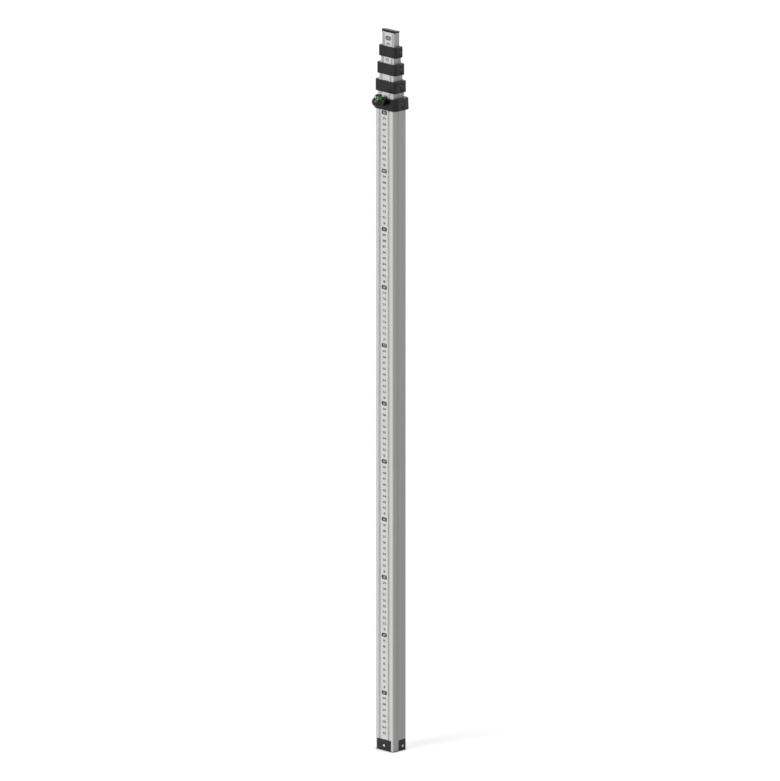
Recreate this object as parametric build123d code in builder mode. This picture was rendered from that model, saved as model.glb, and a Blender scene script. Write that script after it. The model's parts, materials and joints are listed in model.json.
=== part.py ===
from build123d import *
import math
import os

os.makedirs("parts", exist_ok=True)

# A telescopic levelling staff of five sections, closed. Millimetres, +Z up.
# The origin is the centre of the sole. The graduated front faces -Y, the latches are on the +X side.

# Telescope
section_count = 5
outer_width = 41.8
outer_depth = 31.8
collar_seat = 1105.4
plug_height = 29.7
overlap = 149.3
top_reach = 23.7

# Tube profile
wall = 1.3
least_rail = 1.5
channel_depth = 0.75
corner_radius = 3.0
corner_step = 0.375
groove_width = 8.0
groove_depth = 0.5
groove_setback = 8.5

# Clearances between the sections, and of pieces that are fixed into each other
side_clearance = 0.35
face_clearance = 0.275
plug_fit = 0.1
hole_fit = 0.05
guide_side_clearance = 0.2
guide_face_clearance = 0.175

# Scale strips
strip_thickness = 0.4
strip_side_gap = 0.2
strip_end_gap = 0.3

# Foot
sole_thickness = 1.2
window_height = 19.0
column_width = 4.2
column_depth = 13.3
pad_side_gap = 1.4
pad_gap = 0.2
foot_pocket_floor = 14.0
foot_rivet_height = 8.5
foot_side_rivet_height = 7.5
foot_side_rivet_y = 7.0

# Guides inside the sliding sections
flange_thickness = 3.0
plug_wall = 2.5
plug_web = 2.0
guide_pocket_floor = 8.0
guide_rivet_height = 5.5

# Rivets
rivet_shank_radius = 1.5
rivet_head_radius = 2.1
rivet_head_height = 0.7
rivet_head_taper = 35
rivet_length = 6.0

# Collars
collar_height = 20.1
collar_height_step = 0.7
lip_thickness = 3.0
lip_clearance = 0.3
lip_chamfer = 0.6
collar_fit = 0.05
collar_side = 5.0
collar_face = 0.8
collar_corner = 5.0
collar_edge = 0.7
first_collar_side = 5.5
first_collar_face = 1.5
first_collar_front_corner = 11.5
first_collar_draft = 0.7

# Set screws of the collars, through the left-hand wall into the groove of the tube
screw_spacing = 9.0
screw_radius = 1.5
screw_recess = 0.6

# Release latch, in the right-hand wall
latch_y = 1.5
latch_lift = 0.5
pivot_offset = 2.6
pin_radius = 1.0
pin_running = 0.06
pin_fit = 0.02
pin_bearing = 3.0
pin_recess = 1.0
lever_width = 6.0
lever_height = 9.6
lever_boss_radius = 2.0
lever_arm_inner = 0.9
lever_recess = 0.1
lever_crown = 0.7
lever_edge = 0.4
nose_thickness = 2.6
nose_gap = 0.3
nose_chamfer = 0.5
slot_side_gap = 0.3
slot_end_gap = 1.3
lock_hole_end_gap = 0.6
spring_thickness = 0.35
spring_width = 4.5
spring_end_gap = 0.5
spring_high = 1.2
spring_seat = 0.05
spring_pad_gap = 0.1

# Circular level
level_offset = 12.7
cup_bottom = 9.6
cup_bore_radius = 9.4
cup_rim = 1.0
cup_bulge = 1.2
cup_foot_inset = 1.4
cup_belly_height = 5.2
cup_floor = 3.9
neck_width = 17.0
neck_drop = 1.2
neck_height = 9.0
vial_fit = 0.15
vial_shoulder = 0.5
vial_top_wall = 0.8
vial_rise = 7.8
vial_edge = 0.6
chamber_radius = 5.4
chamber_roof = 2.0
chamber_crown = 0.5
chamber_gap = 0.03
base_thickness = 2.2
bubble_radius = 2.3
bubble_depth = 0.9
level_screw_count = 3
level_screw_ring = 6.0
level_screw_radius = 1.4
level_screw_drop = 1.2

# Top cap
cap_thickness = 4.5
cap_slope = 10
cap_overhang = 0.6
cap_spigot = 15.0
cap_edge = 0.6

# Sizes that follow from the driving dimensions
sections = range(1, section_count + 1)
collars = range(1, section_count)
travel = collar_seat + collar_height - lip_thickness - plug_height - overlap
channel_width = outer_width - (section_count - 1) * 2 * (wall + side_clearance) - 2 * least_rail
window_width = outer_width - 2 * column_width
rear_window_start = column_depth - outer_depth / 2
level_y = -(outer_depth / 2 + level_offset)


# Sizes and places by section number
def width(k):
    return outer_width - (k - 1) * 2 * (wall + side_clearance)


def depth(k):
    return outer_depth - (k - 1) * 2 * (wall + channel_depth + face_clearance)


def corner(k):
    return corner_radius - (k - 1) * corner_step


def base(k):
    return (k - 1) * plug_height


def groove_y(k):
    return groove_setback - depth(k) / 2


def tube_bottom(k):
    return base(k) + (sole_thickness if k == 1 else flange_thickness)


def collar_bottom(k):
    return base(k) + collar_seat


def collar_top(k):
    return collar_bottom(k) + collar_height - (k - 1) * collar_height_step


def tube_top(k):
    if k == section_count:
        return collar_top(k - 1) + top_reach
    return collar_top(k) - lip_thickness


def latch_z(k):
    return (collar_bottom(k) + tube_top(k)) / 2 + latch_lift


def side_wall(k):
    return first_collar_side if k == 1 else collar_side


def face_wall(k):
    return first_collar_face if k == 1 else collar_face


def latch_plane(k):
    """A plane across the pin of latch k: local x points out of the wall, local y points up."""
    pivot = (width(k) / 2 + pivot_offset, latch_y, latch_z(k))
    return Plane(origin=pivot, x_dir=(1, 0, 0), z_dir=(0, -1, 0))


def hollow(k, clearance):
    """The inside of tube k, less a clearance all round: the channel floors stand into it."""
    inner_width = width(k) - 2 * wall - 2 * clearance
    inner_depth = depth(k) - 2 * wall - 2 * clearance
    with BuildSketch(mode=Mode.PRIVATE) as inside:
        Rectangle(inner_width, inner_depth)
        with Locations((0, -inner_depth / 2), (0, inner_depth / 2)):
            Rectangle(channel_width + 2 * wall + 2 * clearance, 2 * channel_depth, mode=Mode.SUBTRACT)
    return inside.sketch


def chamber(gap):
    """Half the section of the vial's chamber, less a gap at its wall and roof."""
    radius = chamber_radius - gap
    shoulder = chamber_height - gap
    with BuildSketch(mode=Mode.PRIVATE) as outline:
        with BuildLine():
            Polyline((0, base_thickness), (radius, base_thickness), (radius, shoulder),
                     (0, shoulder + chamber_crown), close=True)
        make_face()
    return outline.sketch


def save(block, name):
    block.part.label = name
    export_step(block.part, f"parts/{name}.step")


# The slot of a latch and its nose, measured from the pin
slot_half = lever_height / 2 + slot_end_gap
slot_width = lever_width + 2 * slot_side_gap
nose_top = lever_height / 2
nose_bottom = nose_top - nose_thickness
nose_tip = -(pivot_offset + wall + side_clearance - nose_gap)
spring_low = slot_half - spring_end_gap


# Tubes: drawn profiles with a scale channel front and rear and a shallow groove along each side
for k in sections:
    inside = hollow(k, 0)
    with BuildPart() as tube:
        with BuildSketch(Plane.XY.offset(tube_bottom(k))):
            RectangleRounded(width(k), depth(k), corner(k))
            with Locations((0, -depth(k) / 2), (0, depth(k) / 2)):
                Rectangle(channel_width, 2 * channel_depth, mode=Mode.SUBTRACT)
            if k < section_count:
                with Locations((-width(k) / 2, groove_y(k)), (width(k) / 2, groove_y(k))):
                    Rectangle(2 * groove_depth, groove_width, mode=Mode.SUBTRACT)
            add(inside, mode=Mode.SUBTRACT)
        extrude(amount=tube_top(k) - tube_bottom(k))

        if k == 1:
            # Cut-outs at the foot: one in the front wall, one round the rear
            with BuildSketch(Plane.XY.offset(tube_bottom(k))):
                with Locations((0, -depth(k) / 2)):
                    Rectangle(window_width, depth(k) / 2, align=(Align.CENTER, Align.CENTER))
                with Locations((0, rear_window_start)):
                    Rectangle(2 * width(k), depth(k), align=(Align.CENTER, Align.MIN))
            extrude(amount=window_height - tube_bottom(k), mode=Mode.SUBTRACT)
        else:
            # Rivet holes of the guide, and the lock hole that meets the latch below at full travel
            with BuildSketch(Plane.YZ.offset(-width(k))):
                with Locations((0, tube_bottom(k) + guide_rivet_height)):
                    Circle(rivet_shank_radius + hole_fit)
            extrude(amount=2 * width(k), mode=Mode.SUBTRACT)
            lock_z = latch_z(k - 1) + (nose_top + nose_bottom) / 2 - travel
            with BuildSketch(Plane.YZ):
                with Locations((latch_y, lock_z)):
                    Rectangle(slot_width, nose_thickness + 2 * lock_hole_end_gap)
            extrude(amount=width(k), mode=Mode.SUBTRACT)

        if k < section_count:
            # Window for the latch nose on the right
            with BuildSketch(Plane.YZ):
                with Locations((latch_y, latch_z(k) + slot_half)):
                    Rectangle(slot_width, slot_half - nose_bottom + slot_side_gap,
                              align=(Align.CENTER, Align.MAX))
            extrude(amount=width(k), mode=Mode.SUBTRACT)
    save(tube, f"section_{k}_tube")


# Scale strips on the channel floors, front and rear
for k in sections:
    strip_bottom = window_height + strip_end_gap if k == 1 else tube_bottom(k)
    floor_y = depth(k) / 2 - channel_depth
    for side, direction in (("front", -1), ("rear", 1)):
        with BuildPart() as strip:
            with BuildSketch(Plane.XY.offset(strip_bottom)):
                with Locations((0, direction * (floor_y + strip_thickness / 2))):
                    Rectangle(channel_width - 2 * strip_side_gap, strip_thickness)
            extrude(amount=tube_top(k) - strip_bottom)
        save(strip, f"section_{k}_{side}_scale")


# Foot plug: sole, core inside the tube, and pads that fill the cut-outs flush with the tube
core = hollow(1, plug_fit)
pad_top = window_height - pad_gap
with BuildPart() as foot:
    with BuildSketch():
        RectangleRounded(width(1), depth(1), corner(1))
    extrude(amount=sole_thickness)
    with BuildSketch(Plane.XY.offset(sole_thickness)):
        add(core)
    extrude(amount=plug_height - sole_thickness)
    with BuildSketch(Plane.XY.offset(sole_thickness)):
        with Locations((0, -depth(1) / 2)):
            Rectangle(window_width - 2 * pad_side_gap, depth(1) / 2, align=(Align.CENTER, Align.MIN))
    extrude(amount=pad_top - sole_thickness)
    with BuildSketch(Plane.XY.offset(sole_thickness)):
        RectangleRounded(width(1), depth(1), corner(1))
        with Locations((0, rear_window_start + pad_gap)):
            Rectangle(2 * width(1), depth(1), align=(Align.CENTER, Align.MAX), mode=Mode.SUBTRACT)
    extrude(amount=pad_top - sole_thickness)
    with BuildSketch(Plane.XY.offset(foot_pocket_floor)):
        Rectangle(width(1) - 2 * (wall + plug_wall),
                  depth(1) - 2 * (wall + channel_depth + plug_wall))
        Rectangle(plug_web, depth(1), mode=Mode.SUBTRACT)
    extrude(amount=plug_height, mode=Mode.SUBTRACT)
    foot_rivet_planes = (
        Plane(origin=(0, -depth(1) / 2, foot_rivet_height), z_dir=(0, -1, 0)),
        Plane(origin=(0, depth(1) / 2, foot_rivet_height), z_dir=(0, 1, 0)),
        Plane(origin=(width(1) / 2, foot_side_rivet_y, foot_side_rivet_height), z_dir=(1, 0, 0)),
        Plane(origin=(-width(1) / 2, foot_side_rivet_y, foot_side_rivet_height), z_dir=(-1, 0, 0)),
    )
    with BuildSketch(*foot_rivet_planes):
        Circle(rivet_shank_radius + hole_fit)
    extrude(amount=-(rivet_length + hole_fit), mode=Mode.SUBTRACT)
save(foot, "foot_plug")

with BuildPart() as foot_rivets:
    with BuildSketch(*foot_rivet_planes):
        Circle(rivet_head_radius)
    extrude(amount=rivet_head_height, taper=rivet_head_taper)
    with BuildSketch(*foot_rivet_planes):
        Circle(rivet_shank_radius)
    extrude(amount=-rivet_length)
save(foot_rivets, "foot_rivets")


# Guides: plugs in the bottom of the sliding sections, with a flange that runs in the tube around them
for k in sections[1:]:
    core = hollow(k, plug_fit)
    flange_width = width(k) + 2 * (side_clearance - guide_side_clearance)
    flange_depth = depth(k) + 2 * (face_clearance - guide_face_clearance)
    pocket_width = width(k) - 2 * (wall + plug_wall)
    pocket_depth = depth(k) - 2 * (wall + channel_depth + plug_wall)
    rivet_z = tube_bottom(k) + guide_rivet_height
    with BuildPart() as guide:
        with BuildSketch(Plane.XY.offset(base(k))):
            RectangleRounded(flange_width, flange_depth, corner(k))
        extrude(amount=flange_thickness)
        with BuildSketch(Plane.XY.offset(tube_bottom(k))):
            add(core)
        extrude(amount=plug_height - flange_thickness)
        with BuildSketch(Plane.XY.offset(rivet_z + guide_pocket_floor)):
            Rectangle(pocket_width, pocket_depth)
            Rectangle(plug_web, pocket_depth, mode=Mode.SUBTRACT)
        extrude(amount=plug_height, mode=Mode.SUBTRACT)
        with BuildSketch(Plane.YZ.offset(-width(k))):
            with Locations((0, rivet_z)):
                Circle(rivet_shank_radius + hole_fit)
        extrude(amount=2 * width(k), mode=Mode.SUBTRACT)
    save(guide, f"section_{k}_guide")

    rivet_x = width(k) / 2 - hole_fit
    guide_rivet_planes = (
        Plane(origin=(rivet_x, 0, rivet_z), z_dir=(1, 0, 0)),
        Plane(origin=(-rivet_x, 0, rivet_z), z_dir=(-1, 0, 0)),
    )
    with BuildPart() as guide_rivets:
        with BuildSketch(*guide_rivet_planes):
            Circle(rivet_shank_radius)
        extrude(amount=-rivet_length)
    save(guide_rivets, f"guide_rivets_{k}")


# Collars: thick at the sides for the latch and the screws, thin front and rear, with a lip over the tube end
for k in collars:
    outside_width = width(k) + 2 * side_wall(k)
    outside_depth = depth(k) + 2 * face_wall(k)
    draft = first_collar_draft if k == 1 else 0
    front_corner = first_collar_front_corner if k == 1 else collar_corner
    with BuildPart() as collar:
        with BuildSketch(Plane.XY.offset(collar_bottom(k))) as outline:
            Rectangle(outside_width + 2 * draft, outside_depth + 2 * draft)
            fillet(outline.vertices().group_by(Axis.Y)[0], front_corner)
            fillet(outline.vertices().group_by(Axis.Y)[-1], collar_corner)
        tall = collar_top(k) - collar_bottom(k)
        extrude(amount=tall, taper=math.degrees(math.atan2(draft, tall)))
        chamfer(collar.faces().sort_by(Axis.Z)[-1].edges(), collar_edge)

        if k == 1:
            # Cup of the circular level, on a neck from the collar's front
            rim_radius = cup_bore_radius + cup_rim
            foot_radius = rim_radius - cup_foot_inset
            cup_foot = (0, level_y, collar_bottom(k) + cup_bottom)
            cup_plane = Plane(origin=cup_foot, x_dir=(1, 0, 0), z_dir=(0, -1, 0))
            cup_height = collar_height - cup_bottom
            with BuildSketch(cup_plane):
                with BuildLine():
                    Line((0, 0), (foot_radius, 0))
                    ThreePointArc((foot_radius, 0), (rim_radius + cup_bulge, cup_belly_height),
                                  (rim_radius, cup_height))
                    Polyline((rim_radius, cup_height), (0, cup_height), (0, 0))
                make_face()
            revolve(axis=Axis((0, level_y, 0), (0, 0, 1)))
            with BuildSketch(Plane.XY.offset(collar_top(k) - neck_drop)):
                with Locations((0, level_y)):
                    Rectangle(neck_width, -level_y, align=(Align.CENTER, Align.MIN))
            extrude(amount=-neck_height)
            with BuildSketch(Plane.XY.offset(collar_bottom(k) + cup_bottom + cup_floor)):
                with Locations((0, level_y)):
                    Circle(cup_bore_radius)
            extrude(amount=collar_height, mode=Mode.SUBTRACT)
            with BuildSketch(Plane.XY.offset(collar_bottom(k) + cup_bottom)):
                with Locations((0, level_y)):
                    with PolarLocations(level_screw_ring, level_screw_count):
                        Circle(level_screw_radius + hole_fit)
            extrude(amount=cup_floor, mode=Mode.SUBTRACT)

        # Seat of the tube, and the opening that the next section runs in
        with BuildSketch(Plane.XY.offset(collar_bottom(k))):
            RectangleRounded(width(k) + 2 * collar_fit, depth(k) + 2 * collar_fit, corner(k))
        extrude(amount=tube_top(k) - collar_bottom(k), mode=Mode.SUBTRACT)
        with BuildSketch(Plane.XY.offset(tube_top(k))):
            RectangleRounded(width(k + 1) + 2 * lip_clearance, depth(k + 1) + 2 * lip_clearance,
                             corner(k + 1) + lip_clearance)
        extrude(amount=2 * lip_thickness, mode=Mode.SUBTRACT)
        lip_opening = lip_clearance + lip_chamfer
        with BuildSketch(Plane.XY.offset(collar_top(k))):
            RectangleRounded(width(k + 1) + 2 * lip_opening, depth(k + 1) + 2 * lip_opening,
                             corner(k + 1) + lip_opening)
        extrude(amount=-lip_chamfer, taper=45, mode=Mode.SUBTRACT)

        # Slot of the latch, and the hole for its pin from the rear
        with BuildSketch(Plane.YZ.offset(width(k) / 2 - wall)):
            with Locations((latch_y, latch_z(k))):
                Rectangle(slot_width, 2 * slot_half)
        extrude(amount=outside_width, mode=Mode.SUBTRACT)
        with BuildSketch(latch_plane(k).offset(slot_width / 2 + pin_bearing)):
            Circle(pin_radius + pin_fit)
        extrude(amount=-outside_depth, mode=Mode.SUBTRACT)

        # Holes for the set screws on the left
        screw_tip = (groove_depth - width(k) / 2, groove_y(k), latch_z(k))
        screw_plane = Plane(origin=screw_tip, x_dir=(0, 1, 0), z_dir=(-1, 0, 0))
        with BuildSketch(screw_plane):
            with GridLocations(0, screw_spacing, 1, 2):
                Circle(screw_radius + hole_fit)
        extrude(amount=outside_width, mode=Mode.SUBTRACT)
    save(collar, f"collar_{k}")

    with BuildPart() as collar_screws:
        with BuildSketch(screw_plane):
            with GridLocations(0, screw_spacing, 1, 2):
                Circle(screw_radius)
        extrude(amount=groove_depth + side_wall(k) - screw_recess)
    save(collar_screws, f"collar_screws_{k}")


# Latches: a rocker on a pin, its nose above the pin, its thumb pad below, sprung by an arched leaf
for k in collars:
    rim = side_wall(k) - pivot_offset - lever_recess
    half = lever_height / 2
    with BuildPart() as lever:
        with BuildSketch(latch_plane(k)) as rocker:
            with BuildLine():
                ThreePointArc((rim, -half), (rim + lever_crown, 0), (rim, half))
                Polyline((rim, half), (nose_tip, nose_top), (nose_tip, nose_bottom),
                         (-lever_arm_inner, nose_bottom), (-lever_arm_inner, -half), (rim, -half))
            make_face()
            chamfer(rocker.vertices().group_by(Axis.X)[0].sort_by(Axis.Y)[0], nose_chamfer)
            Circle(lever_boss_radius)
            Circle(pin_radius + pin_running, mode=Mode.SUBTRACT)
        extrude(amount=lever_width / 2, both=True)
        chamfer(lever.edges().filter_by(GeomType.CIRCLE).group_by(Axis.X)[-1], lever_edge)
    save(lever, f"release_lever_{k}")

    pin_end = slot_width / 2 + pin_bearing
    pin_length = pin_end + depth(k) / 2 - latch_y - pin_recess
    with BuildPart() as pin:
        with BuildSketch(latch_plane(k).offset(pin_end)):
            Circle(pin_radius)
        extrude(amount=-pin_length)
    save(pin, f"latch_pin_{k}")

    leaf_x = spring_seat - pivot_offset
    leaf_top = -lever_arm_inner - spring_pad_gap
    leaf_middle = -(spring_low + spring_high) / 2
    with BuildPart() as spring:
        with BuildSketch(latch_plane(k)):
            with BuildLine():
                ThreePointArc((leaf_x, -spring_low), (leaf_top - spring_thickness, leaf_middle),
                              (leaf_x, -spring_high))
                Line((leaf_x, -spring_high), (leaf_x + spring_thickness, -spring_high))
                ThreePointArc((leaf_x + spring_thickness, -spring_high), (leaf_top, leaf_middle),
                              (leaf_x + spring_thickness, -spring_low))
                Line((leaf_x + spring_thickness, -spring_low), (leaf_x, -spring_low))
            make_face()
        extrude(amount=spring_width / 2, both=True)
    save(spring, f"latch_spring_{k}")


# Circular level: base disc, clear vial with a chamber, the fluid with its bubble, and adjusting screws
level_floor = collar_bottom(1) + cup_bottom + cup_floor
level_plane = Plane(origin=(0, level_y, level_floor), x_dir=(1, 0, 0), z_dir=(0, -1, 0))
level_axis = Axis((0, level_y, 0), (0, 0, 1))
vial_radius = cup_bore_radius - vial_fit
shoulder_height = collar_height - cup_bottom - cup_floor - vial_shoulder
vial_height = shoulder_height + vial_rise
chamber_height = vial_height - chamber_roof

with BuildPart() as level_base:
    with BuildSketch(Plane.XY.offset(level_floor)):
        with Locations((0, level_y)):
            Circle(vial_radius)
    extrude(amount=base_thickness)
save(level_base, "level_base")

with BuildPart() as vial:
    with BuildSketch(level_plane) as profile:
        with BuildLine():
            Polyline((0, base_thickness), (vial_radius, base_thickness), (vial_radius, shoulder_height),
                     (chamber_radius + vial_top_wall, vial_height), (0, vial_height), close=True)
        make_face()
        chamfer(profile.vertices().group_by(Axis.Y)[-1].sort_by(Axis.X)[-1], vial_edge)
        add(chamber(0), mode=Mode.SUBTRACT)
    revolve(axis=level_axis)
save(vial, "level_vial")

bubble_top = chamber_height + chamber_crown - chamber_gap
with BuildPart() as fluid:
    with BuildSketch(level_plane):
        add(chamber(chamber_gap))
        with Locations((0, bubble_top)):
            Ellipse(bubble_radius, bubble_depth, mode=Mode.SUBTRACT)
    revolve(axis=level_axis)
save(fluid, "level_fluid")

with BuildPart() as level_screws:
    with BuildSketch(Plane.XY.offset(level_floor)):
        with Locations((0, level_y)):
            with PolarLocations(level_screw_ring, level_screw_count):
                Circle(level_screw_radius)
    extrude(amount=-(cup_floor + level_screw_drop))
save(level_screws, "level_screws")


# Top cap: a plate over the end of the inmost section, its top falling to the rear, with a spigot inside it
spigot = hollow(section_count, plug_fit)
cap_bottom = tube_top(section_count)
cap_width = width(section_count) + 2 * cap_overhang
cap_depth = depth(section_count) + 2 * cap_overhang
with BuildPart() as cap:
    with BuildSketch(Plane.XY.offset(cap_bottom)):
        RectangleRounded(cap_width, cap_depth, corner(section_count) + cap_overhang)
    extrude(amount=cap_thickness)
    with BuildSketch(Plane.YZ):
        with BuildLine():
            cap_top = cap_bottom + cap_thickness
            cap_fall = cap_depth * math.tan(math.radians(cap_slope))
            Polyline((-cap_depth / 2, cap_top), (cap_depth / 2, cap_top), (cap_depth / 2, cap_top - cap_fall),
                     close=True)
        make_face()
    extrude(amount=cap_width, both=True, mode=Mode.SUBTRACT)
    chamfer(cap.faces().sort_by(Axis.Z)[-1].edges(), cap_edge)
    with BuildSketch(Plane.XY.offset(cap_bottom)):
        add(spigot)
    extrude(amount=-cap_spigot)
save(cap, "top_cap")
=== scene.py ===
import json
import math

import bmesh
import bpy
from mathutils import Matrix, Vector


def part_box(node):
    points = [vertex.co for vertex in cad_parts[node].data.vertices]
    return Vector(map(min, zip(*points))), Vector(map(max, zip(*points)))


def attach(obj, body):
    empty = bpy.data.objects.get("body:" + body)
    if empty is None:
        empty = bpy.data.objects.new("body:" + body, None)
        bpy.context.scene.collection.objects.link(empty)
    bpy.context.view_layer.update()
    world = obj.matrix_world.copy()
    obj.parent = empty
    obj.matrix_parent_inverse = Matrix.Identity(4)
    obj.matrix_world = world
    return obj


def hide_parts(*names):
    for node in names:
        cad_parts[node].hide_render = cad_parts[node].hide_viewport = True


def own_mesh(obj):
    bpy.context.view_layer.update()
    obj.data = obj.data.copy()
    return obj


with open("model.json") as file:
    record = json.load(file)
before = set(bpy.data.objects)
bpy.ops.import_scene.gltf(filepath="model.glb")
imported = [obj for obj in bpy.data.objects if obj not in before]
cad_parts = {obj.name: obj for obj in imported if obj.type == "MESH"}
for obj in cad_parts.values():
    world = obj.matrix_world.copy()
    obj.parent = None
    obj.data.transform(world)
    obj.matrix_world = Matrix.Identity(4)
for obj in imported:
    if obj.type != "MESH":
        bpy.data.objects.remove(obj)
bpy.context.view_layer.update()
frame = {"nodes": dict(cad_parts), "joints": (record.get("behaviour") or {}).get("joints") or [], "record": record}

MM = 0.001
SECTIONS = range(1, 6)
COLLARS = range(1, 5)

# Camera: near-parallel view from 45 degrees right of the front and 15 degrees above
IMAGE_LONG = 781
PIXELS_PER_METRE = 600.5
CAMERA_AZIMUTH = math.radians(45)
CAMERA_ELEVATION = math.radians(15)
CAMERA_LENS = 1400.0
CAMERA_SENSOR = 36.0
CAMERA_TARGET_Z = 619.3 * MM
CAMERA_SIDE_SHIFT = -1.3 * MM

# Light and floor
WORLD_FILL = 0.06
WORLD_WHITE = 1.0
KEY_DIRECTION = (-0.2, -1.0, 0.42)
KEY_STRENGTH = 2.58
KEY_ANGLE = math.radians(30)
RIM_DIRECTION = (1.0, 1.0, 0.05)
RIM_STRENGTH = 0.62
RIM_ANGLE = math.radians(40)
BACK_DIRECTION = (-0.35, 1.0, 0.5)
BACK_STRENGTH = 1.2
BACK_ANGLE = math.radians(40)
FLOOR_SIZE = 14.0
FLOOR_COLOUR = (0.6, 0.6, 0.6, 1.0)
FLOOR_GLOW = 0.74
# Painted contact shadow: near the object, ambient occlusion darkens the floor's glow
CONTACT_REACH = 10 * MM
CONTACT_SAMPLES = 16
CONTACT_RANGE = (0.45, 0.95)
PAINTED_SHADOW_DARK = 0.35

# Shared by the materials: ranges of a pattern's values, and the wear along edges
WHOLE = (0.0, 1.0)
MIDDLE = (0.3, 0.7)
WEAR_RADIUS = 0.35 * MM
WEAR_REACH = 0.06
WEAR_SAMPLES = 6

# Print of the scales, in millimetres; stretches are ratios
HALF_CENTIMETRE = 5
CENTIMETRE = 10
DECIMETRE = 100
METRE = 1000
INK_THICKNESS = 0.05
PRINT_END_GAP = 1.5
PRINT_CENTRE = 0.3
TICK_HEIGHT = 0.38
TICK_LENGTH = 3.9
HALF_TICK_LENGTH = 4.4
CENTIMETRE_TICK_LENGTH = 5.0
TICK_INSET_LEFT = 0.5
TICK_INSET_RIGHT = 0.05
NUMBER_HEIGHT = 4.1
NUMBER_STRETCH = 1.4
NUMBER_GAP = 0.2
LABEL_WIDTH = 11.9
LABEL_HEIGHT = 7.0
LABEL_CORNER = 1.9
LABEL_CORNER_STEPS = 4
LABEL_DIGIT_HEIGHT = 3.6
LABEL_DIGIT_STRETCH = 1.15
LABEL_DIGIT_GAP = 0.5
BLOCK_ROWS = 5
BLOCK_HEIGHT = BLOCK_ROWS * CENTIMETRE
BLOCK_WIDTH = 11.0
BLOCK_SPINE = 3.6
BLOCK_INSET = 0.9
REAR_NUMBER_HEIGHT = 11.0
REAR_NUMBER_STRETCH = 0.62
REAR_NUMBER_GAP = 0.8
REAR_NUMBER_CENTRE = 6.1

# Digits, in units of the font's size
DIGIT_SMOOTHNESS = 4
DIGIT_WELD = 0.003
NUMBER_WEIGHT = 0.026
LABEL_DIGIT_WEIGHT = 0.0
MITRE_LIMIT = 0.7

# Solid pieces: steps of their curves, and the largest angle in degrees that is shaded smooth
ON_AXIS = 1e-9
EDGE_STEPS = 5
QUARTER_STEPS = 6
QUARTER_TURN = [math.radians(90 * i / QUARTER_STEPS) for i in range(QUARTER_STEPS + 1)]
SMOOTH_ANGLE = 35

# Level; its edge starts at an angle in degrees
VIAL_STEPS = 96
VIAL_SHOULDER = 0.5 * MM
VIAL_TOP_WALL = 0.8 * MM
VIAL_EDGE = 0.7 * MM
VIAL_EDGE_START = 10
CHAMBER_GAP = 0.03 * MM
CHAMBER_ROUND = 0.4 * MM
BUBBLE_RADIUS = 2.3 * MM
BUBBLE_DEPTH = 0.9 * MM
TOP_RING_WIDTH = 0.6 * MM
TARGET_RING = 2.9 * MM
TARGET_RING_WIDTH = 0.3 * MM
RING_THICKNESS = 0.05 * MM

# Rivets of the foot; the rim is a share of the head's height, the core a share of the stem's radius
FOOT_RIVET_Z = 8.5 * MM
FOOT_SIDE_RIVET_Z = 7.5 * MM
FOOT_SIDE_RIVET_Y = 7.0 * MM
RIVET_STEPS = 48
RIVET_HEAD = 2.1 * MM
RIVET_RIM = 0.25
RIVET_SHANK = 1.5 * MM
RIVET_LENGTH = 5.9 * MM
RIVET_STEM = 0.8 * MM
RIVET_DIMPLE = 0.3 * MM
RIVET_CORE = 0.6

# Set screws, levers and springs; a rib's shoulders are shares of its height and width
SCREW_EDGE = 0.25 * MM
SCREW_STEPS = 36
SOCKET_RADIUS = 0.87 * MM
SOCKET_DEPTH = 1.6 * MM
HEXAGON_HALF_SIDE = math.pi / 6
RIB_COUNT = 3
RIB_FIRST = 2.0 * MM
RIB_PITCH = 0.85 * MM
RIB_WIDTH = 0.6 * MM
RIB_HEIGHT = 0.22 * MM
RIB_SHOULDER_HEIGHT = 0.7
RIB_SHOULDER_WIDTH = 0.28
RIB_SINK = 0.1 * MM
RIB_LENGTH = 4.4 * MM
RIB_SMOOTH_ANGLE = 50
LEVER_CROWN = 0.7 * MM
SPRING_THICKNESS = 0.35 * MM
SPRING_STEPS = 16


# Shader helpers

def shader_node(tree, kind, inputs=None, **attributes):
    """A new shader node with its attributes set and its inputs set or linked."""
    made = tree.nodes.new("ShaderNode" + kind)
    for name, value in attributes.items():
        setattr(made, name, value)
    for name, value in (inputs or {}).items():
        if isinstance(value, bpy.types.NodeSocket):
            tree.links.new(value, made.inputs[name])
        else:
            made.inputs[name].default_value = value
    return made


def new_material(name):
    """A material with a Principled shader; returns the material, its tree and the shader."""
    material = bpy.data.materials.new(name)
    material.use_nodes = True
    tree = material.node_tree
    tree.nodes.clear()
    shader = shader_node(tree, "BsdfPrincipled")
    shader_node(tree, "OutputMaterial", {"Surface": shader.outputs["BSDF"]})
    return material, tree, shader


def millimetres(tree, stretch=(1.0, 1.0, 1.0)):
    """Object coordinates in millimetres, divided by a stretch along each axis."""
    coordinates = shader_node(tree, "TexCoord")
    mapping = shader_node(tree, "Mapping", {"Vector": coordinates.outputs["Object"]})
    mapping.inputs["Scale"].default_value = [1 / (MM * s) for s in stretch]
    return mapping.outputs["Vector"]


def noise(tree, vector, scale, detail, roughness=0.5):
    """A noise pattern, as a value from 0 to 1."""
    made = shader_node(tree, "TexNoise", {"Vector": vector, "Scale": scale, "Detail": detail,
                                          "Roughness": roughness})
    return made.outputs["Fac"]


def spread(tree, value, source, target):
    """A value carried from one range to another, clamped."""
    made = shader_node(tree, "MapRange", {"Value": value, "From Min": source[0], "From Max": source[1],
                                          "To Min": target[0], "To Max": target[1]})
    return made.outputs["Result"]


def mix_colour(tree, factor, first, second):
    """Two colours mixed by a factor; each may be a colour or a socket."""
    made = shader_node(tree, "Mix", {"Factor": factor}, data_type="RGBA")
    colour_inputs = [socket for socket in made.inputs if socket.type == "RGBA"]
    for socket, value in zip(colour_inputs, (first, second)):
        if isinstance(value, bpy.types.NodeSocket):
            tree.links.new(value, socket)
        else:
            socket.default_value = value
    return next(socket for socket in made.outputs if socket.type == "RGBA")


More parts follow.
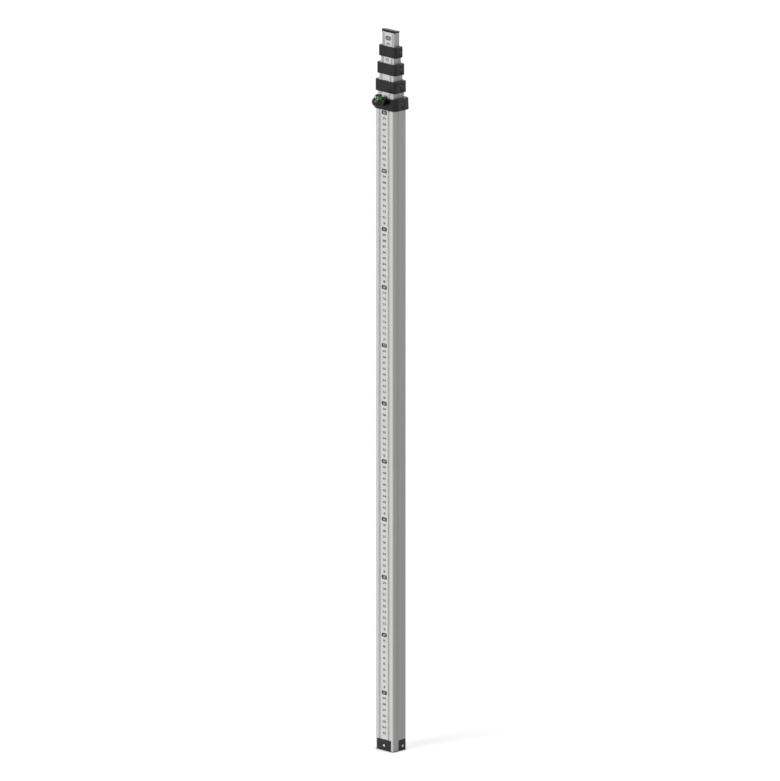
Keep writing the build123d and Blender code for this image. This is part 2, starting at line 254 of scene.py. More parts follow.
def combine(tree, operation, first, second):
    """A sum, product or other result of two values."""
    made = shader_node(tree, "Math", operation=operation)
    tree.links.new(first, made.inputs[0])
    tree.links.new(second, made.inputs[1])
    return made.outputs["Value"]


def edge_wear(tree):
    """A mask that is 1 on the edges of a piece and 0 on its faces."""
    rounded = shader_node(tree, "Bevel", {"Radius": WEAR_RADIUS}, samples=WEAR_SAMPLES)
    surface = shader_node(tree, "NewGeometry")
    turn = shader_node(tree, "VectorMath", operation="DOT_PRODUCT")
    tree.links.new(rounded.outputs["Normal"], turn.inputs[0])
    tree.links.new(surface.outputs["True Normal"], turn.inputs[1])
    return spread(tree, turn.outputs["Value"], (1.0, 1.0 - WEAR_REACH), WHOLE)


def bump(tree, shader, height, strength, distance):
    """A bump on the shader's normal."""
    made = shader_node(tree, "Bump", {"Height": height, "Strength": strength, "Distance": distance})
    tree.links.new(made.outputs["Normal"], shader.inputs["Normal"])


def grey(value):
    """A grey as a colour."""
    return (value, value, value, 1.0)


# Materials: the scales of the noise are per millimetre

def aluminium():
    """Satin anodised extrusion: fine drawn lines along it, soft blotches and handling marks."""
    dark = (0.605, 0.605, 0.595, 1.0)
    light = (0.665, 0.665, 0.655, 1.0)
    blotch = (0.57, 0.58, 0.58, 1.0)
    material, tree, shader = new_material("anodised_aluminium")
    lines = noise(tree, millimetres(tree, (1, 1, 160)), scale=2.2, detail=4.0, roughness=0.7)
    blotches = noise(tree, millimetres(tree, (1, 1, 4)), scale=0.04, detail=3.0)
    marks = noise(tree, millimetres(tree, (1, 1, 12)), scale=0.35, detail=5.0, roughness=0.65)
    tone = mix_colour(tree, spread(tree, lines, MIDDLE, WHOLE), dark, light)
    tone = mix_colour(tree, spread(tree, blotches, (0.35, 0.7), (0.0, 0.18)), tone, blotch)
    tone = mix_colour(tree, spread(tree, marks, (0.62, 0.75), (0.0, 0.16)), tone, grey(0.47))
    tree.links.new(tone, shader.inputs["Base Color"])
    rough = combine(tree, "ADD", spread(tree, lines, MIDDLE, (0.36, 0.46)),
                    spread(tree, marks, (0.5, 0.75), (0.0, 0.1)))
    tree.links.new(rough, shader.inputs["Roughness"])
    shader.inputs["Metallic"].default_value = 0.1
    bump(tree, shader, lines, strength=0.25, distance=0.02 * MM)
    return material


def scale_film():
    """Matt printed film: a light cool grey with a faint grain and patches of dust."""
    dark = (0.66, 0.67, 0.66, 1.0)
    light = (0.70, 0.71, 0.70, 1.0)
    dusty = (0.59, 0.59, 0.57, 1.0)
    material, tree, shader = new_material("scale_strip")
    grain = noise(tree, millimetres(tree), scale=3.0, detail=3.0)
    dust = noise(tree, millimetres(tree, (1, 1, 5)), scale=0.08, detail=4.0, roughness=0.6)
    tone = mix_colour(tree, spread(tree, grain, MIDDLE, WHOLE), dark, light)
    tone = mix_colour(tree, spread(tree, dust, (0.5, 0.75), (0.0, 0.2)), tone, dusty)
    tree.links.new(tone, shader.inputs["Base Color"])
    tree.links.new(spread(tree, grain, MIDDLE, (0.48, 0.6)), shader.inputs["Roughness"])
    shader.inputs["Specular IOR Level"].default_value = 0.3
    bump(tree, shader, grain, strength=0.15, distance=0.01 * MM)
    return material


def ink(name, thin, dense):
    """Screen-printed ink, a little uneven in cover and gloss."""
    material, tree, shader = new_material(name)
    cover = noise(tree, millimetres(tree), scale=2.5, detail=3.0)
    tone = mix_colour(tree, spread(tree, cover, (0.35, 0.65), WHOLE), thin, dense)
    tree.links.new(tone, shader.inputs["Base Color"])
    tree.links.new(spread(tree, cover, MIDDLE, (0.45, 0.6)), shader.inputs["Roughness"])
    shader.inputs["Specular IOR Level"].default_value = 0.25
    return material


def moulded_plastic(name, dark, light, wear, grain_scale, patch_scale, scuff, rough):
    """Moulded plastic in greys: fine grain, dull patches, and edges and scuffs worn lighter."""
    material, tree, shader = new_material(name)
    grain = noise(tree, millimetres(tree), grain_scale, detail=3.0, roughness=0.6)
    patches = noise(tree, millimetres(tree), patch_scale, detail=4.0, roughness=0.6)
    streaks = noise(tree, millimetres(tree, (6, 6, 1)), scale=0.8, detail=4.0, roughness=0.7)
    tone = mix_colour(tree, spread(tree, patches, (0.35, 0.65), WHOLE), grey(dark), grey(light))
    tone = mix_colour(tree, spread(tree, streaks, (0.6, 0.78), (0.0, scuff)), tone, grey(wear))
    rubbed = combine(tree, "MULTIPLY", edge_wear(tree), spread(tree, patches, MIDDLE, (0.15, 0.7)))
    tone = mix_colour(tree, rubbed, tone, grey(wear))
    tree.links.new(tone, shader.inputs["Base Color"])
    dull = combine(tree, "ADD", spread(tree, grain, MIDDLE, (rough - 0.06, rough + 0.06)),
                   spread(tree, patches, MIDDLE, (-0.05, 0.05)))
    tree.links.new(dull, shader.inputs["Roughness"])
    shader.inputs["Specular IOR Level"].default_value = 0.28
    bump(tree, shader, grain, strength=0.35, distance=0.05 * MM)
    return material


def bright_metal(name, tone, rough, metallic=1.0):
    """Turned or drawn metal: fine lines in its gloss, and small dull specks."""
    dull = 0.6 * tone
    material, tree, shader = new_material(name)
    lines = noise(tree, millimetres(tree, (1, 8, 1)), scale=6.0, detail=3.0)
    specks = noise(tree, millimetres(tree), scale=1.2, detail=4.0, roughness=0.7)
    colour = mix_colour(tree, spread(tree, specks, (0.55, 0.75), (0.0, 0.4)), grey(tone), grey(dull))
    tree.links.new(colour, shader.inputs["Base Color"])
    tree.links.new(spread(tree, lines, MIDDLE, (rough - 0.06, rough + 0.08)), shader.inputs["Roughness"])
    shader.inputs["Metallic"].default_value = metallic
    bump(tree, shader, lines, strength=0.2, distance=0.01 * MM)
    return material


def clear_acrylic():
    """Polished clear acrylic with a green tint and hairline marks."""
    clear = (0.55, 0.72, 0.66, 1.0)
    marked = (0.50, 0.67, 0.61, 1.0)
    material, tree, shader = new_material("clear_acrylic")
    marks = noise(tree, millimetres(tree, (1, 6, 1)), scale=1.5, detail=4.0, roughness=0.7)
    tone = mix_colour(tree, spread(tree, marks, (0.6, 0.8), WHOLE), clear, marked)
    tree.links.new(tone, shader.inputs["Base Color"])
    tree.links.new(spread(tree, marks, (0.5, 0.8), (0.08, 0.2)), shader.inputs["Roughness"])
    shader.inputs["Transmission Weight"].default_value = 1.0
    shader.inputs["IOR"].default_value = 1.18
    return material


def green_fluid():
    """Dyed level fluid, a little cloudy."""
    dark = (0.13, 0.30, 0.07, 1.0)
    light = (0.20, 0.41, 0.12, 1.0)
    material, tree, shader = new_material("level_fluid")
    cloud = noise(tree, millimetres(tree), scale=0.4, detail=2.0)
    tone = mix_colour(tree, spread(tree, cloud, MIDDLE, WHOLE), dark, light)
    tree.links.new(tone, shader.inputs["Base Color"])
    tree.links.new(spread(tree, cloud, MIDDLE, (0.05, 0.15)), shader.inputs["Roughness"])
    shader.inputs["Transmission Weight"].default_value = 0.2
    shader.inputs["IOR"].default_value = 1.36
    return material


def pale_plastic():
    """White plastic of the level's base, slightly yellowed in patches."""
    white = (0.80, 0.82, 0.80, 1.0)
    yellowed = (0.76, 0.77, 0.72, 1.0)
    material, tree, shader = new_material("level_base")
    patches = noise(tree, millimetres(tree), scale=0.3, detail=3.0)
    tone = mix_colour(tree, spread(tree, patches, MIDDLE, WHOLE), white, yellowed)
    tree.links.new(tone, shader.inputs["Base Color"])
    tree.links.new(spread(tree, patches, MIDDLE, (0.3, 0.42)), shader.inputs["Roughness"])
    return material


materials = {
    "anodised_aluminium": aluminium(),
    "scale_strip": scale_film(),
    "collar_plastic": moulded_plastic("collar_plastic", dark=0.003, light=0.006, wear=0.03,
                                      grain_scale=2.6, patch_scale=0.12, scuff=0.35, rough=0.34),
    "lever_plastic": moulded_plastic("lever_plastic", dark=0.003, light=0.006, wear=0.03,
                                     grain_scale=3.2, patch_scale=0.12, scuff=0.3, rough=0.36),
    "foot_plastic": moulded_plastic("foot_plastic", dark=0.002, light=0.018, wear=0.05,
                                    grain_scale=1.8, patch_scale=0.4, scuff=0.6, rough=0.46),
    "rivet_aluminium": bright_metal("rivet_aluminium", tone=0.72, rough=0.4, metallic=0.35),
    "steel": bright_metal("steel", tone=0.52, rough=0.32),
    "clear_acrylic": clear_acrylic(),
    "level_fluid": green_fluid(),
    "level_base": pale_plastic(),
}
black_ink = ink("black_ink", thin=grey(0.035), dense=grey(0.02))
white_ink = ink("white_ink", thin=grey(0.72), dense=grey(0.80))
red_ink = ink("red_ink", thin=(0.50, 0.035, 0.025, 1.0), dense=(0.42, 0.022, 0.018, 1.0))

for subpart in frame["record"]["subparts"]:
    node = frame["nodes"][subpart["node"]]
    node.data.materials.clear()
    node.data.materials.append(materials[subpart["material_slot"]])
blackened = frame["nodes"]["level_screws"].data.materials
blackened[0] = bright_metal("blackened_steel", tone=0.07, rough=0.42)


# Mesh helpers

def new_piece(name, vertices, faces, material, body):
    """A mesh piece in the frame that rides on a body."""
    mesh = bpy.data.meshes.new(name)
    mesh.from_pydata(vertices, [], faces)
    mesh.validate()
    mesh.update()
    mesh.materials.append(material)
    piece = bpy.data.objects.new(name, mesh)
    bpy.context.scene.collection.objects.link(piece)
    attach(piece, body)
    return piece


def solid_piece(name, points, faces, material, body, angle=SMOOTH_ANGLE):
    """A closed piece with its faces turned outwards and smooth shading up to an angle."""
    piece = new_piece(name, points, faces, material, body)
    solid = bmesh.new()
    solid.from_mesh(piece.data)
    bmesh.ops.recalc_face_normals(solid, faces=solid.faces)
    solid.to_mesh(piece.data)
    solid.free()
    piece.data.shade_smooth()
    piece.data.set_sharp_from_angle(angle=math.radians(angle))
    return piece


def turned(outline, origin, axis, steps):
    """Points and faces of a turned solid.

    The outline gives (radius, height) along the axis, as a closed loop or from the axis back to it.
    """
    direction = Vector(axis).normalized()
    sideways = direction.orthogonal().normalized()
    third = direction.cross(sideways)
    points = []
    rings = []
    for radius, height in outline:
        centre = Vector(origin) + direction * height
        count = steps if radius > ON_AXIS else 1
        rings.append([len(points) + i for i in range(count)])
        for i in range(count):
            angle = 2 * math.pi * i / steps
            points.append(centre + (sideways * math.cos(angle) + third * math.sin(angle)) * radius)
    faces = []
    for below, above in zip(rings, rings[1:] + rings[:1]):
        if len(below) == 1 and len(above) == 1:
            continue
        for i in range(steps):
            j = (i + 1) % steps
            corners = [below[i % len(below)], below[j % len(below)],
                       above[j % len(above)], above[i % len(above)]]
            faces.append(tuple(dict.fromkeys(corners)))
    return points, faces


def turned_piece(name, solids, material, body, steps):
    """One piece made of one or more turned solids, each given as (outline, origin, axis)."""
    points = []
    faces = []
    for outline, origin, axis in solids:
        more_points, more_faces = turned(outline, origin, axis, steps)
        faces += [tuple(len(points) + i for i in face) for face in more_faces]
        points += more_points
    return solid_piece(name, points, faces, material, body)


def lofted(rings, first):
    """Faces that join rings of points of equal count, numbered from first on, with both ends closed."""
    count = len(rings[0])
    faces = []
    for ring in range(len(rings) - 1):
        below = first + count * ring
        for i in range(count):
            j = (i + 1) % count
            faces.append((below + i, below + j, below + count + j, below + count + i))
    faces.append(tuple(first + i for i in range(count)))
    faces.append(tuple(first + count * (len(rings) - 1) + i for i in range(count)))
    return faces


def arc(centre, radius, start, end):
    """Points of an arc, angles in degrees."""
    angles = [math.radians(start + (end - start) * i / EDGE_STEPS) for i in range(EDGE_STEPS + 1)]
    return [(centre[0] + radius * math.cos(a), centre[1] + radius * math.sin(a)) for a in angles]


# Print of the scales

class Print:
    """Closed thin shapes of ink on a flat strip, gathered into one mesh.

    Across runs to the reader's right, up runs along +Z and out is the strip's outward side, in millimetres.
    """

    def __init__(self, face_y, direction, low, high):
        self.face_y = face_y
        self.direction = direction
        self.low = low
        self.high = high
        self.vertices = []
        self.faces = []

    def point(self, across, up, out):
        """A point of the print in the frame, in metres."""
        side = -self.direction * across
        return (side * MM, self.face_y + self.direction * out * MM, up * MM)

    def holds(self, up, height):
        """Whether a shape of a height, centred at up, lies inside the strip's printed length."""
        return self.low <= up - height / 2 and up + height / 2 <= self.high

    def add(self, outline_points, outline_faces, across, up, lift=0.0):
        """Adds a closed shape, given as (across, up, out) points and faces seen from outside."""
        first = len(self.vertices)
        self.vertices += [self.point(across + x, up + z, lift + out) for x, z, out in outline_points]
        self.faces += [tuple(first + i for i in face) for face in outline_faces]

    def bar(self, across, up, width, height):
        """Adds a bar centred on a point, where the printed length holds it."""
        if self.holds(up, height):
            x, z = width / 2, height / 2
            self.add(*slab([(-x, -z), (x, -z), (x, z), (-x, z)]), across, up)

    def number(self, text, shapes, gap, middle, up, lift=0.0):
        """Adds a number centred on a point."""
        total = sum(shapes[digit][2] for digit in text) + gap * (len(text) - 1)
        across = middle - total / 2
        for digit in text:
            points, faces, width = shapes[digit]
            self.add(points, faces, across, up, lift)
            across += width + gap

    def piece(self, name, material, body):
        """The print as a piece that rides on a body."""
        return new_piece(name, self.vertices, self.faces, material, body)


def slab(outline):
    """Points and faces of a flat outline, counter-clockwise, as thick as the ink."""
    count = len(outline)
    points = [(x, z, out) for out in (0.0, INK_THICKNESS) for x, z in outline]
    sides = [(i, (i + 1) % count, count + (i + 1) % count, count + i) for i in range(count)]
    back = tuple(reversed(range(count)))
    front = tuple(range(count, 2 * count))
    return points, sides + [back, front]


def rounded_box(width, height, corner):
    """Outline of a box with rounded corners, counter-clockwise."""
    outline = []
    for number, (side, end) in enumerate(((1, -1), (1, 1), (-1, 1), (-1, -1))):
        centre_x = side * (width / 2 - corner)
        centre_z = end * (height / 2 - corner)
        start = math.radians(90 * (number - 1))
        for step in range(LABEL_CORNER_STEPS + 1):
            angle = start + math.radians(90) * step / LABEL_CORNER_STEPS
            outline.append((centre_x + corner * math.cos(angle), centre_z + corner * math.sin(angle)))
    return outline


def bold_points(flat, weight):
    """Points of a flat figure with its outline moved outwards by a weight, mitred up to a limit."""
    points = []
    for vertex in flat.verts:
        outward = []
        for edge in vertex.link_edges:
            if edge.is_boundary:
                along = edge.other_vert(vertex).co - vertex.co
                normal = Vector((along.y, -along.x, 0)).normalized()
                inside = edge.link_faces[0].calc_center_median() - vertex.co
                outward.append(-normal if normal.dot(inside) > 0 else normal)
        first, second = outward
        points.append(vertex.co + (first + second) * weight / max(1 + first.dot(second), MITRE_LIMIT))
    return points


def digit_shapes(height, stretch, weight):
    """Points, faces and width of each digit as a closed solid of a given height, from the built-in font."""
    shapes = {}
    for digit in "0123456789":
        curve = bpy.data.curves.new("digit", "FONT")
        curve.body = digit
        curve.resolution_u = DIGIT_SMOOTHNESS
        text = bpy.data.objects.new("digit", curve)
        mesh = bpy.data.meshes.new_from_object(text)
        flat = bmesh.new()
        flat.from_mesh(mesh)
        bmesh.ops.remove_doubles(flat, verts=flat.verts, dist=DIGIT_WELD)
        flat.verts.index_update()
        flat.verts.ensure_lookup_table()
        bold = bold_points(flat, weight)
        low_x = min(p.x for p in bold)
        low_y = min(p.y for p in bold)
        scale = height / (max(p.y for p in bold) - low_y)
        wide = scale * stretch
        outline = [((p.x - low_x) * wide, (p.y - low_y) * scale - height / 2) for p in bold]
        count = len(outline)
        points = [(x, z, out) for out in (0.0, INK_THICKNESS) for x, z in outline]
        faces = []
        for face in flat.faces:
            corners = [v.index for v in face.verts]
            if face.normal.z < 0:
                corners.reverse()
            faces.append(tuple(reversed(corners)))
            faces.append(tuple(count + i for i in corners))
            for i, j in zip(corners, corners[1:] + corners[:1]):
                if flat.edges.get((flat.verts[i], flat.verts[j])).is_boundary:
                    faces.append((i, j, count + j, count + i))
        shapes[digit] = (points, faces, max(x for x, z in outline))
        flat.free()
        bpy.data.objects.remove(text)
        bpy.data.curves.remove(curve)
        bpy.data.meshes.remove(mesh)
    return shapes


number_digits = digit_shapes(NUMBER_HEIGHT, NUMBER_STRETCH, NUMBER_WEIGHT)
label_digits = digit_shapes(LABEL_DIGIT_HEIGHT, LABEL_DIGIT_STRETCH, LABEL_DIGIT_WEIGHT)
rear_digits = digit_shapes(REAR_NUMBER_HEIGHT, REAR_NUMBER_STRETCH, NUMBER_WEIGHT)


def section_travel():
    """How far each section slides out, in millimetres."""
    slides = [joint for joint in frame["joints"] if joint["type"] == "slide"]
    return slides[0]["range_m"][1] / MM


def reading_offset(k):
    """How much section k's readings exceed its height at rest, so that they run on at full length."""
    return round((k - 1) * section_travel(), 3)


def printed_range(k):
    """The part of section k's strip that can show, in millimetres of height at rest."""
    low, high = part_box(f"section_{k}_front_scale")
    start = low.z / MM
    if k > 1:
        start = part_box(f"collar_{k - 1}")[1].z / MM - section_travel()
    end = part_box(f"collar_{k}")[0].z / MM if k in COLLARS else high.z / MM - PRINT_END_GAP
    return start, end


def front_print(k):
    """Millimetre ticks on both edges, centimetre numbers and boxed decimetre labels."""
    low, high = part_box(f"section_{k}_front_scale")
    start, end = printed_range(k)
    offset = reading_offset(k)
    black = Print(low.y, -1, start, end)
    white = Print(low.y, -1, start, end)
    label_box = slab(rounded_box(LABEL_WIDTH, LABEL_HEIGHT, LABEL_CORNER))
    left = -high.x / MM + TICK_INSET_LEFT
    right = high.x / MM - TICK_INSET_RIGHT
    for reading in range(math.ceil(start + offset), math.floor(end + offset) + 1):
        up = reading - offset
        length = TICK_LENGTH
        if reading % CENTIMETRE == 0:
            length = CENTIMETRE_TICK_LENGTH
        elif reading % HALF_CENTIMETRE == 0:
            length = HALF_TICK_LENGTH
        black.bar(left + length / 2, up, length, TICK_HEIGHT)
        black.bar(right - length / 2, up, length, TICK_HEIGHT)
        if reading % DECIMETRE == 0:
            if black.holds(up, LABEL_HEIGHT):
                text = str(reading // CENTIMETRE)
                black.add(*label_box, PRINT_CENTRE, up)
                white.number(text, label_digits, LABEL_DIGIT_GAP, PRINT_CENTRE, up, INK_THICKNESS)
        elif reading % CENTIMETRE == 0:
            if black.holds(up, NUMBER_HEIGHT):
                text = f"{reading % METRE // CENTIMETRE:02d}"
                black.number(text, number_digits, NUMBER_GAP, PRINT_CENTRE, up)
    black.piece(f"section_{k}_front_print", black_ink, f"section_{k}")
    white.piece(f"section_{k}_front_labels", white_ink, f"section_{k}")


def block_outline(bottom, low, high):
    """Outline of an E of one-centimetre rows, from its spine outwards, cut to a range of height."""
    rows = [bottom + CENTIMETRE * i for i in range(1, BLOCK_ROWS)]
    edges = [low] + [row for row in rows if low < row < high] + [high]
    outline = [(0, low)]
    for first, second in zip(edges, edges[1:]):
        row = math.floor(((first + second) / 2 - bottom) / CENTIMETRE)
        reach = BLOCK_WIDTH if row % 2 == 0 else BLOCK_SPINE
        outline += [(reach, first), (reach, second)]
    return outline + [(0, high)]


def rear_print(k):
    """Bold centimetre blocks on alternate sides, black and red by the metre, with decimetre numbers."""
    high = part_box(f"section_{k}_rear_scale")[1]
    start, end = printed_range(k)
    offset = reading_offset(k)
    black = Print(high.y, 1, start, end)
    red = Print(high.y, 1, start, end)
    edge = high.x / MM - BLOCK_INSET
    first = BLOCK_HEIGHT * math.floor((start + offset) / BLOCK_HEIGHT)
    for reading in range(first, math.ceil(end + offset), BLOCK_HEIGHT):
        target = red if reading // METRE % 2 else black
        bottom = reading - offset
        cut_low = max(bottom, start + BLOCK_INSET)
        cut_high = min(bottom + BLOCK_HEIGHT, end - BLOCK_INSET)
        if cut_high - cut_low < BLOCK_INSET:
            continue
        outline = block_outline(bottom, cut_low, cut_high)
        middle = bottom + BLOCK_HEIGHT / 2
        if reading % DECIMETRE == 0:
            target.add(*slab([(x - edge, z) for x, z in outline]), 0, 0)
            if target.holds(middle, REAR_NUMBER_HEIGHT):
                text = f"{reading // DECIMETRE:02d}"
                target.number(text, rear_digits, REAR_NUMBER_GAP, REAR_NUMBER_CENTRE, middle)
        else:
            target.add(*slab([(edge - x, z) for x, z in reversed(outline)]), 0, 0)
    for target, material, name in ((black, black_ink, "black"), (red, red_ink, "red")):
        if target.faces:
            target.piece(f"section_{k}_rear_{name}", material, f"section_{k}")


for k in SECTIONS:
    front_print(k)
    rear_print(k)


# Small pieces: level, rivets, set screws, ribs of the levers, springs

def make_level():
    """The clear vial, its fluid with a bubble, and the rings on its top."""
    low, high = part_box("level_vial")
    centre = (low + high) / 2
    outer = (high.x - low.x) / 2
    bottom = low.z
    top = high.z
    fluid_low, fluid_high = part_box("level_fluid")
    chamber = (fluid_high.x - fluid_low.x) / 2
    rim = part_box("collar_1")[1].z
    shoulder = min(rim - VIAL_SHOULDER, top)
    neck = chamber + VIAL_TOP_WALL
    axis = (0, 0, 1)
    origin = (centre.x, centre.y, 0)

    hollow = chamber + CHAMBER_GAP
    roof = fluid_high.z + CHAMBER_GAP
    body = [(hollow, bottom), (outer, bottom), (outer, shoulder)]
    body += arc((neck - VIAL_EDGE, top - VIAL_EDGE), VIAL_EDGE, VIAL_EDGE_START, 90)
    body += [(0, top), (0, roof)]
    body += arc((hollow - CHAMBER_ROUND, roof - CHAMBER_ROUND), CHAMBER_ROUND, 90, 0)
    vial = turned_piece("vial", [(body, origin, axis)], materials["clear_acrylic"], "section_1", VIAL_STEPS)
    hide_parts("level_vial")

    surface = fluid_high.z
    filling = [(0, fluid_low.z), (chamber, fluid_low.z)]
    filling += arc((chamber - CHAMBER_ROUND, surface - CHAMBER_ROUND), CHAMBER_ROUND, 0, 90)
    filling += [(BUBBLE_RADIUS * math.cos(a), surface - BUBBLE_DEPTH * math.sin(a)) for a in QUARTER_TURN]
    fluid = turned_piece("fluid", [(filling, origin, axis)], materials["level_fluid"], "section_1",
                         VIAL_STEPS)
    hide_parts("level_fluid")

    rings = []
    for ring_outer, ring_width in ((neck - VIAL_EDGE, TOP_RING_WIDTH), (TARGET_RING, TARGET_RING_WIDTH)):
        ring_inner = ring_outer - ring_width
        ring_top = top + RING_THICKNESS
        ring = [(ring_inner, top), (ring_outer, top), (ring_outer, ring_top), (ring_inner, ring_top)]
        rings.append((ring, origin, axis))
    turned_piece("vial_rings", rings, black_ink, "section_1", VIAL_STEPS)


def make_foot_rivets():
    """Blind rivets with a domed head and the broken stem in its middle."""
    low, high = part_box("section_1_tube")
    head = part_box("foot_rivets")[1].y - high.y
    places = (((0, low.y, FOOT_RIVET_Z), (0, -1, 0)),
              ((0, high.y, FOOT_RIVET_Z), (0, 1, 0)),
              ((high.x, FOOT_SIDE_RIVET_Y, FOOT_SIDE_RIVET_Z), (1, 0, 0)),
              ((low.x, FOOT_SIDE_RIVET_Y, FOOT_SIDE_RIVET_Z), (-1, 0, 0)))
    dome = [(0, -RIVET_LENGTH), (RIVET_SHANK, -RIVET_LENGTH), (RIVET_SHANK, 0), (RIVET_HEAD, 0)]
    dome += [(RIVET_STEM + (RIVET_HEAD - RIVET_STEM) * math.cos(a),
              head * (RIVET_RIM + (1 - RIVET_RIM) * math.sin(a))) for a in QUARTER_TURN]
    dome += [(RIVET_STEM, head - RIVET_DIMPLE), (RIVET_STEM - RIVET_DIMPLE / 2, head - RIVET_DIMPLE),
             (RIVET_STEM * RIVET_CORE, head - RIVET_DIMPLE / 2), (0, head - RIVET_DIMPLE / 2)]
    solids = [(dome, origin, axis) for origin, axis in places]
    rivets = turned_piece("foot_blind_rivets", solids, materials["rivet_aluminium"], "section_1", RIVET_STEPS)
    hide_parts("foot_rivets")


def make_set_screws(k):
    """Two set screws of a collar, with hexagon sockets."""
    low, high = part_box(f"collar_screws_{k}")
    radius = (high.y - low.y) / 2
    length = high.x - low.x
    middle_y = (low.y + high.y) / 2
    outline = ((radius - SCREW_EDGE, 0, False), (radius, SCREW_EDGE, False),
               (radius, length - SCREW_EDGE, False), (radius - SCREW_EDGE, length, False),
               (SOCKET_RADIUS, length, True), (SOCKET_RADIUS, length - SOCKET_DEPTH, True))
    points = []
    faces = []
    for z in (low.z + radius, high.z - radius):
        rings = []
        for size, along, hexagon in outline:
            ring = []
            for i in range(SCREW_STEPS):
                angle = 2 * math.pi * i / SCREW_STEPS
                reach = size
                if hexagon:
                    off_flat = angle % (2 * HEXAGON_HALF_SIDE) - HEXAGON_HALF_SIDE
                    reach = size * math.cos(HEXAGON_HALF_SIDE) / math.cos(off_flat)
                ring.append((high.x - along, middle_y + reach * math.cos(angle), z + reach * math.sin(angle)))
            rings.append(ring)
        faces += lofted(rings, len(points))
        points += [point for ring in rings for point in ring]
    screws = solid_piece(f"set_screws_{k}", points, faces, materials["steel"], f"section_{k}")
    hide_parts(f"collar_screws_{k}")


def make_lever_ribs(k):
    """Ridges across the thumb pad of a release lever, following its crown."""
    low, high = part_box(f"release_lever_{k}")
    middle_y = (low.y + high.y) / 2
    middle_z = (low.z + high.z) / 2
    half = (high.z - low.z) / 2
    points = []
    faces = []
    for number in range(RIB_COUNT):
        z = middle_z - RIB_FIRST - number * RIB_PITCH
        face_x = high.x - LEVER_CROWN * ((z - middle_z) / half) ** 2
        shoulder_x = face_x + RIB_HEIGHT * RIB_SHOULDER_HEIGHT
        shoulder_half = RIB_WIDTH * RIB_SHOULDER_WIDTH
        profile = [(face_x - RIB_SINK, z - RIB_WIDTH / 2), (shoulder_x, z - shoulder_half),
                   (face_x + RIB_HEIGHT, z), (shoulder_x, z + shoulder_half),
                   (face_x - RIB_SINK, z + RIB_WIDTH / 2)]
        rings = [[(x, middle_y + end * RIB_LENGTH / 2, up) for x, up in profile] for end in (-1, 1)]
        faces += lofted(rings, len(points))
        points += rings[0] + rings[1]
    ribs = solid_piece(f"lever_ribs_{k}", points, faces, materials["lever_plastic"], f"lever_{k}",
                       RIB_SMOOTH_ANGLE)


def make_spring(k):
    """The arched leaf behind a release lever."""
    low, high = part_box(f"latch_spring_{k}")
    half = (high.z - low.z) / 2
    middle_z = (low.z + high.z) / 2
    rise = high.x - low.x - SPRING_THICKNESS
    radius = (half ** 2 + rise ** 2) / (2 * rise)
    rings = []
    for i in range(SPRING_STEPS + 1):
        up = half * (2 * i / SPRING_STEPS - 1)
        inner = low.x + math.sqrt(radius ** 2 - up ** 2) - radius + rise
        outer = inner + SPRING_THICKNESS
        corners = ((inner, low.y), (outer, low.y), (outer, high.y), (inner, high.y))
        rings.append([(x, y, middle_z + up) for x, y in corners])
    points = [point for ring in rings for point in ring]
    leaf = solid_piece(f"spring_leaf_{k}", points, lofted(rings, 0), materials["steel"], f"section_{k}")
    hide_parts(f"latch_spring_{k}")
    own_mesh(leaf)


make_level()
make_foot_rivets()
for k in COLLARS:
    make_set_screws(k)
    make_lever_ribs(k)
    make_spring(k)


# Studio: floor, world, lamps and camera

def surroundings_show(tree):
    """1 for rays that show the surroundings: to the camera, in a reflection or through glass."""
    path = shader_node(tree, "LightPath")
    seen = combine(tree, "MAXIMUM", path.outputs["Is Camera Ray"], path.outputs["Is Glossy Ray"])
    return combine(tree, "MAXIMUM", seen, path.outputs["Is Transmission Ray"])


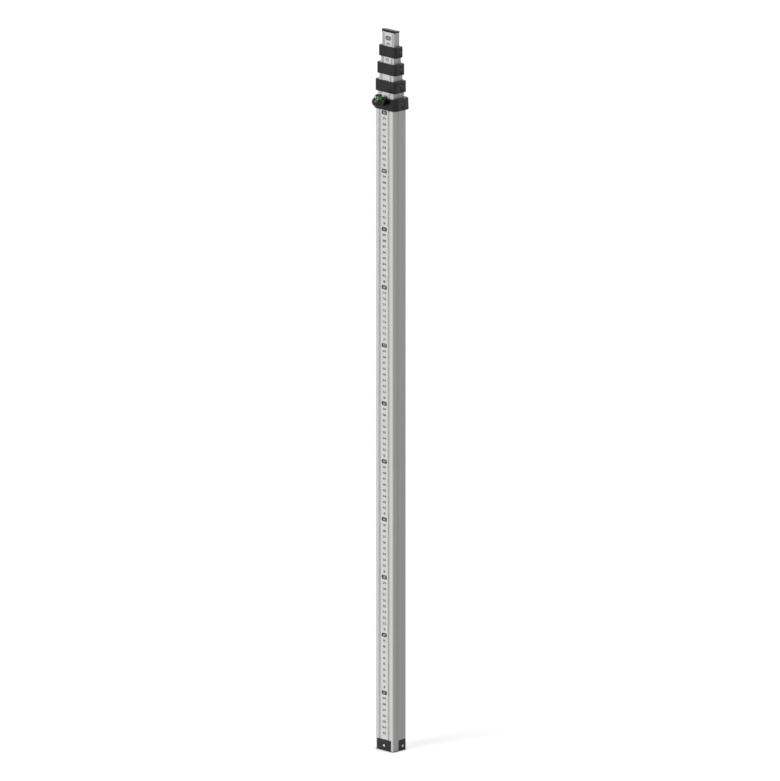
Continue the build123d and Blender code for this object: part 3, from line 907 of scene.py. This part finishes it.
def make_floor():
    """A pale floor, white where it shows, and darker where the object stands on it: a painted contact shadow from
    ambient occlusion.
    """
    half = FLOOR_SIZE / 2
    corners = [(-half, -half, 0), (half, -half, 0), (half, half, 0), (-half, half, 0)]
    mesh = bpy.data.meshes.new("floor")
    mesh.from_pydata(corners, [], [(0, 1, 2, 3)])
    material = bpy.data.materials.new("floor")
    material.use_nodes = True
    tree = material.node_tree
    tree.nodes.clear()
    matt = shader_node(tree, "BsdfDiffuse", {"Color": FLOOR_COLOUR})
    # Painted contact shadow: ambient occlusion near the object darkens the floor's glow
    contact = shader_node(tree, "AmbientOcclusion", {"Distance": CONTACT_REACH}, samples=CONTACT_SAMPLES)
    shade = spread(tree, contact.outputs["AO"], CONTACT_RANGE, (PAINTED_SHADOW_DARK, 1.0))
    shown = spread(tree, surroundings_show(tree), WHOLE, (0.0, FLOOR_GLOW))
    level = combine(tree, "MULTIPLY", shown, shade)
    glow = shader_node(tree, "Emission", {"Color": grey(1.0), "Strength": level})
    both = shader_node(tree, "AddShader")
    tree.links.new(matt.outputs["BSDF"], both.inputs[0])
    tree.links.new(glow.outputs["Emission"], both.inputs[1])
    shader_node(tree, "OutputMaterial", {"Surface": both.outputs["Shader"]})
    mesh.materials.append(material)
    floor = bpy.data.objects.new("floor", mesh)
    bpy.context.scene.collection.objects.link(floor)


def make_world():
    """A faint fill of light that shows as white."""
    world = bpy.data.worlds.new("studio")
    bpy.context.scene.world = world
    world.use_nodes = True
    tree = world.node_tree
    tree.nodes.clear()
    level = spread(tree, surroundings_show(tree), WHOLE, (WORLD_FILL, WORLD_WHITE))
    shown = shader_node(tree, "Background", {"Color": grey(1.0), "Strength": level})
    shader_node(tree, "OutputWorld", {"Surface": shown.outputs["Background"]})


def make_lamp(name, direction, strength, angle):
    """A soft distant lamp that shines from a direction."""
    lamp = bpy.data.lights.new(name, "SUN")
    lamp.energy = strength
    lamp.angle = angle
    holder = bpy.data.objects.new(name, lamp)
    holder.rotation_euler = Vector(direction).to_track_quat("Z", "Y").to_euler()
    bpy.context.scene.collection.objects.link(holder)


def make_camera():
    """The camera of the photograph: far away with a long lens."""
    back = Vector((math.sin(CAMERA_AZIMUTH) * math.cos(CAMERA_ELEVATION),
                   -math.cos(CAMERA_AZIMUTH) * math.cos(CAMERA_ELEVATION), math.sin(CAMERA_ELEVATION)))
    right = Vector((math.cos(CAMERA_AZIMUTH), math.sin(CAMERA_AZIMUTH), 0))
    target = Vector((0, 0, CAMERA_TARGET_Z)) + right * CAMERA_SIDE_SHIFT
    distance = IMAGE_LONG / PIXELS_PER_METRE * CAMERA_LENS / CAMERA_SENSOR
    data = bpy.data.cameras.new("camera")
    data.lens = CAMERA_LENS
    data.sensor_width = CAMERA_SENSOR
    data.clip_end = 2 * distance
    camera = bpy.data.objects.new("camera", data)
    camera.location = target + back * distance
    camera.rotation_euler = back.to_track_quat("Z", "Y").to_euler()
    bpy.context.scene.collection.objects.link(camera)
    bpy.context.scene.camera = camera


make_floor()
make_world()
make_lamp("key", KEY_DIRECTION, KEY_STRENGTH, KEY_ANGLE)
make_lamp("rim", RIM_DIRECTION, RIM_STRENGTH, RIM_ANGLE)
make_lamp("back", BACK_DIRECTION, BACK_STRENGTH, BACK_ANGLE)
make_camera()
bpy.context.scene.view_settings.view_transform = "Standard"
